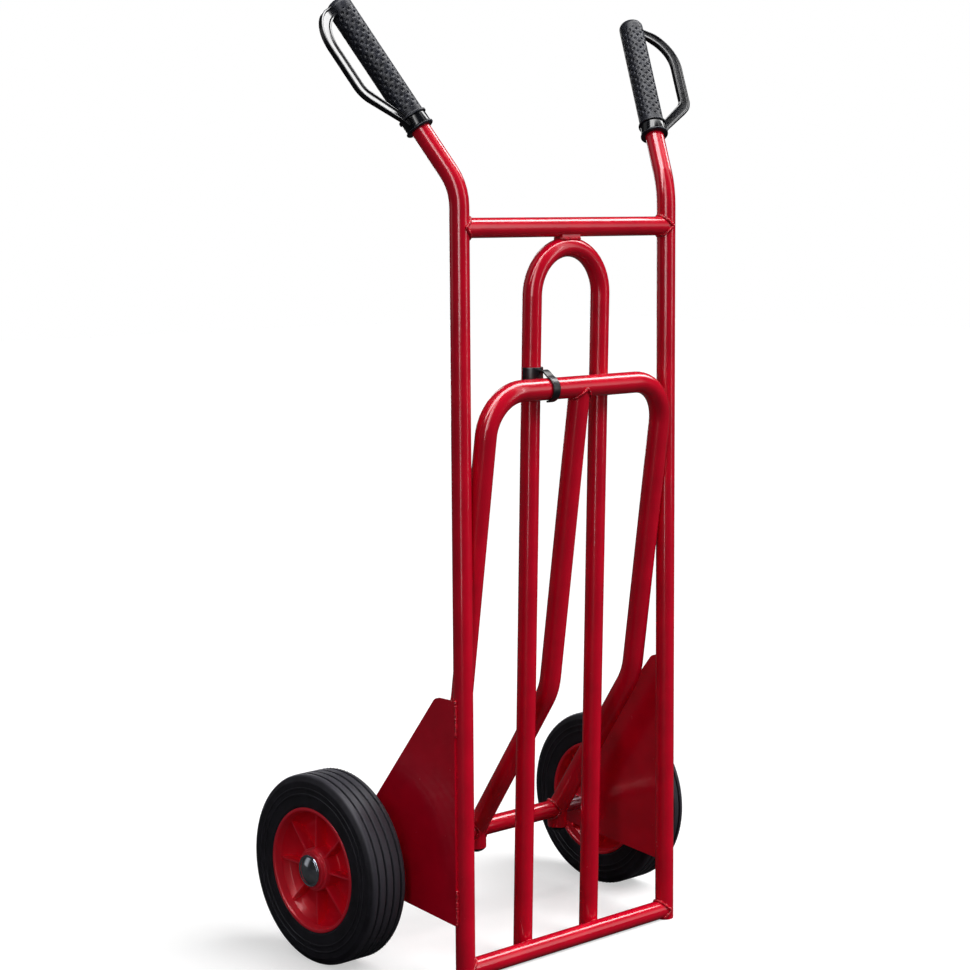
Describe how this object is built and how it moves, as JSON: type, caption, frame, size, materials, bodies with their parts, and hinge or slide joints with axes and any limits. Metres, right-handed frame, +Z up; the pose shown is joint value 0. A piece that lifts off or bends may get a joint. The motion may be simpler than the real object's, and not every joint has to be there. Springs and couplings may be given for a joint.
{
  "type": "hand truck",
  "caption": "Upright tubular hand truck with a folding toe frame, rubber-tyred wheels on a fixed axle and grips with knuckle guards.",
  "frame": {"origin": "on the floor, at the centre of the footprint: midway between the uprights, and midway between the strap clip's front and the tyres' rear", "axes": "+X across the width to the right seen from the load side, +Y from the load side to the wheels, +Z up along the uprights"},
  "size_m": [0.6272, 0.3464, 1.2332],
  "materials": {
    "red_paint": "glossy",
    "zinc_steel": "satin",
    "chrome_cap": "polished",
    "grip_rubber": "matte",
    "guard_plastic": "glossy",
    "tyre_rubber": "matte",
    "rim_plastic": "glossy",
    "bush_plastic": "satin",
    "strap_rubber": "satin"
  },
  "bodies": {
    "frame": {"left_upright": "red_paint", "right_upright": "red_paint", "top_crossbar": "red_paint", "bottom_crossbar": "red_paint", "inner_hoop": "red_paint", "hoop_stub": "red_paint", "left_side_plate": "red_paint", "right_side_plate": "red_paint", "frame_welds": "red_paint", "axle_rod": "zinc_steel", "left_wheel_spacer": "zinc_steel", "right_wheel_spacer": "zinc_steel", "left_axle_washer": "zinc_steel", "right_axle_washer": "zinc_steel", "left_axle_cap": "chrome_cap", "right_axle_cap": "chrome_cap", "left_grip": "grip_rubber", "right_grip": "grip_rubber", "left_knuckle_guard": "guard_plastic", "right_knuckle_guard": "guard_plastic"},
    "left_wheel": {"left_tyre": "tyre_rubber", "left_rim": "rim_plastic", "left_bush": "bush_plastic"},
    "right_wheel": {"right_tyre": "tyre_rubber", "right_rim": "rim_plastic", "right_bush": "bush_plastic"},
    "toe": {"toe_hoop": "red_paint", "toe_middle_leg": "red_paint", "left_pivot_tube": "red_paint", "right_pivot_tube": "red_paint", "toe_welds": "red_paint", "left_leg_plug": "guard_plastic", "middle_leg_plug": "guard_plastic", "right_leg_plug": "guard_plastic"},
    "clip": {"toe_clip": "strap_rubber"}
  },
  "joints": [
    {"name": "left_wheel_spin", "type": "hinge", "parent": "frame", "child": "left_wheel", "pos_m": [-0.26, 0.04821, 0.125], "axis": [1, 0, 0], "continuous": true},
    {"name": "right_wheel_spin", "type": "hinge", "parent": "frame", "child": "right_wheel", "pos_m": [0.26, 0.04821, 0.125], "axis": [1, 0, 0], "continuous": true},
    {"name": "toe_fold", "type": "hinge", "parent": "frame", "child": "toe", "pos_m": [0, 0.04821, 0.125], "axis": [1, 0, 0], "range_deg": [0, 80.7]},
    {"name": "clip_swing", "type": "hinge", "parent": "toe", "child": "clip", "pos_m": [-0.056, -0.15591, 0.747], "axis": [1, 0, 0], "range_deg": [0, 50]}
  ]
}
